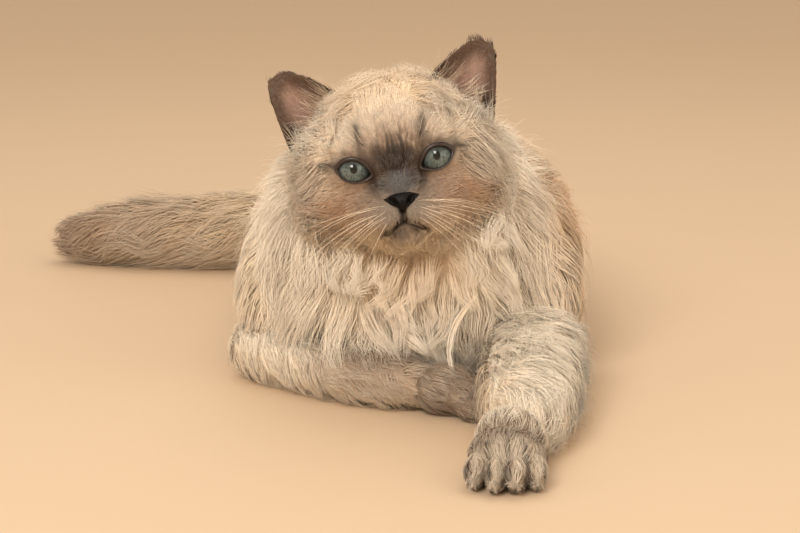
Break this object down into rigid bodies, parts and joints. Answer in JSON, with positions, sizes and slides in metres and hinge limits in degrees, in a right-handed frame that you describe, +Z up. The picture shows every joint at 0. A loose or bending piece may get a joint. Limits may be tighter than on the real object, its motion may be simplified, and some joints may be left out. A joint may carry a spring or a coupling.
{
  "type": "persian cat",
  "caption": "Life-size still model of a long-haired colourpoint cat lying on its belly, head up, one foreleg stretched forward and the other folded.",
  "frame": {"origin": "on the floor, under the belly, between the forelegs and the hind legs", "axes": "+Z up, +Y towards the tail end, the cat faces -Y, its own left side is +X"},
  "size_m": [0.4252, 0.615, 0.2176],
  "materials": {
    "cream_coat": "long soft cream hair",
    "blue_coat": "soft blue-grey hair on the points",
    "mask_coat": "short hair, cream with a blue-grey mask",
    "nose_leather": "smooth, slightly moist",
    "eye": "wet, clear and glossy"
  },
  "bodies": {
    "root": {"head": "mask_coat", "nose": "nose_leather", "eye_left": "eye", "eye_right": "eye", "ear_left": "blue_coat", "ear_right": "blue_coat", "neck": "cream_coat", "chest": "cream_coat", "torso": "cream_coat", "shoulder_left": "cream_coat", "shoulder_right": "cream_coat", "forearm_left": "cream_coat", "forearm_right": "blue_coat", "forepaw_left": "blue_coat", "forepaw_right": "blue_coat", "thigh_left": "cream_coat", "thigh_right": "cream_coat", "hindpaw_left": "blue_coat", "hindpaw_right": "blue_coat", "tail_root": "blue_coat", "tail_middle": "blue_coat", "tail_tip": "blue_coat"}
  },
  "joints": []
}
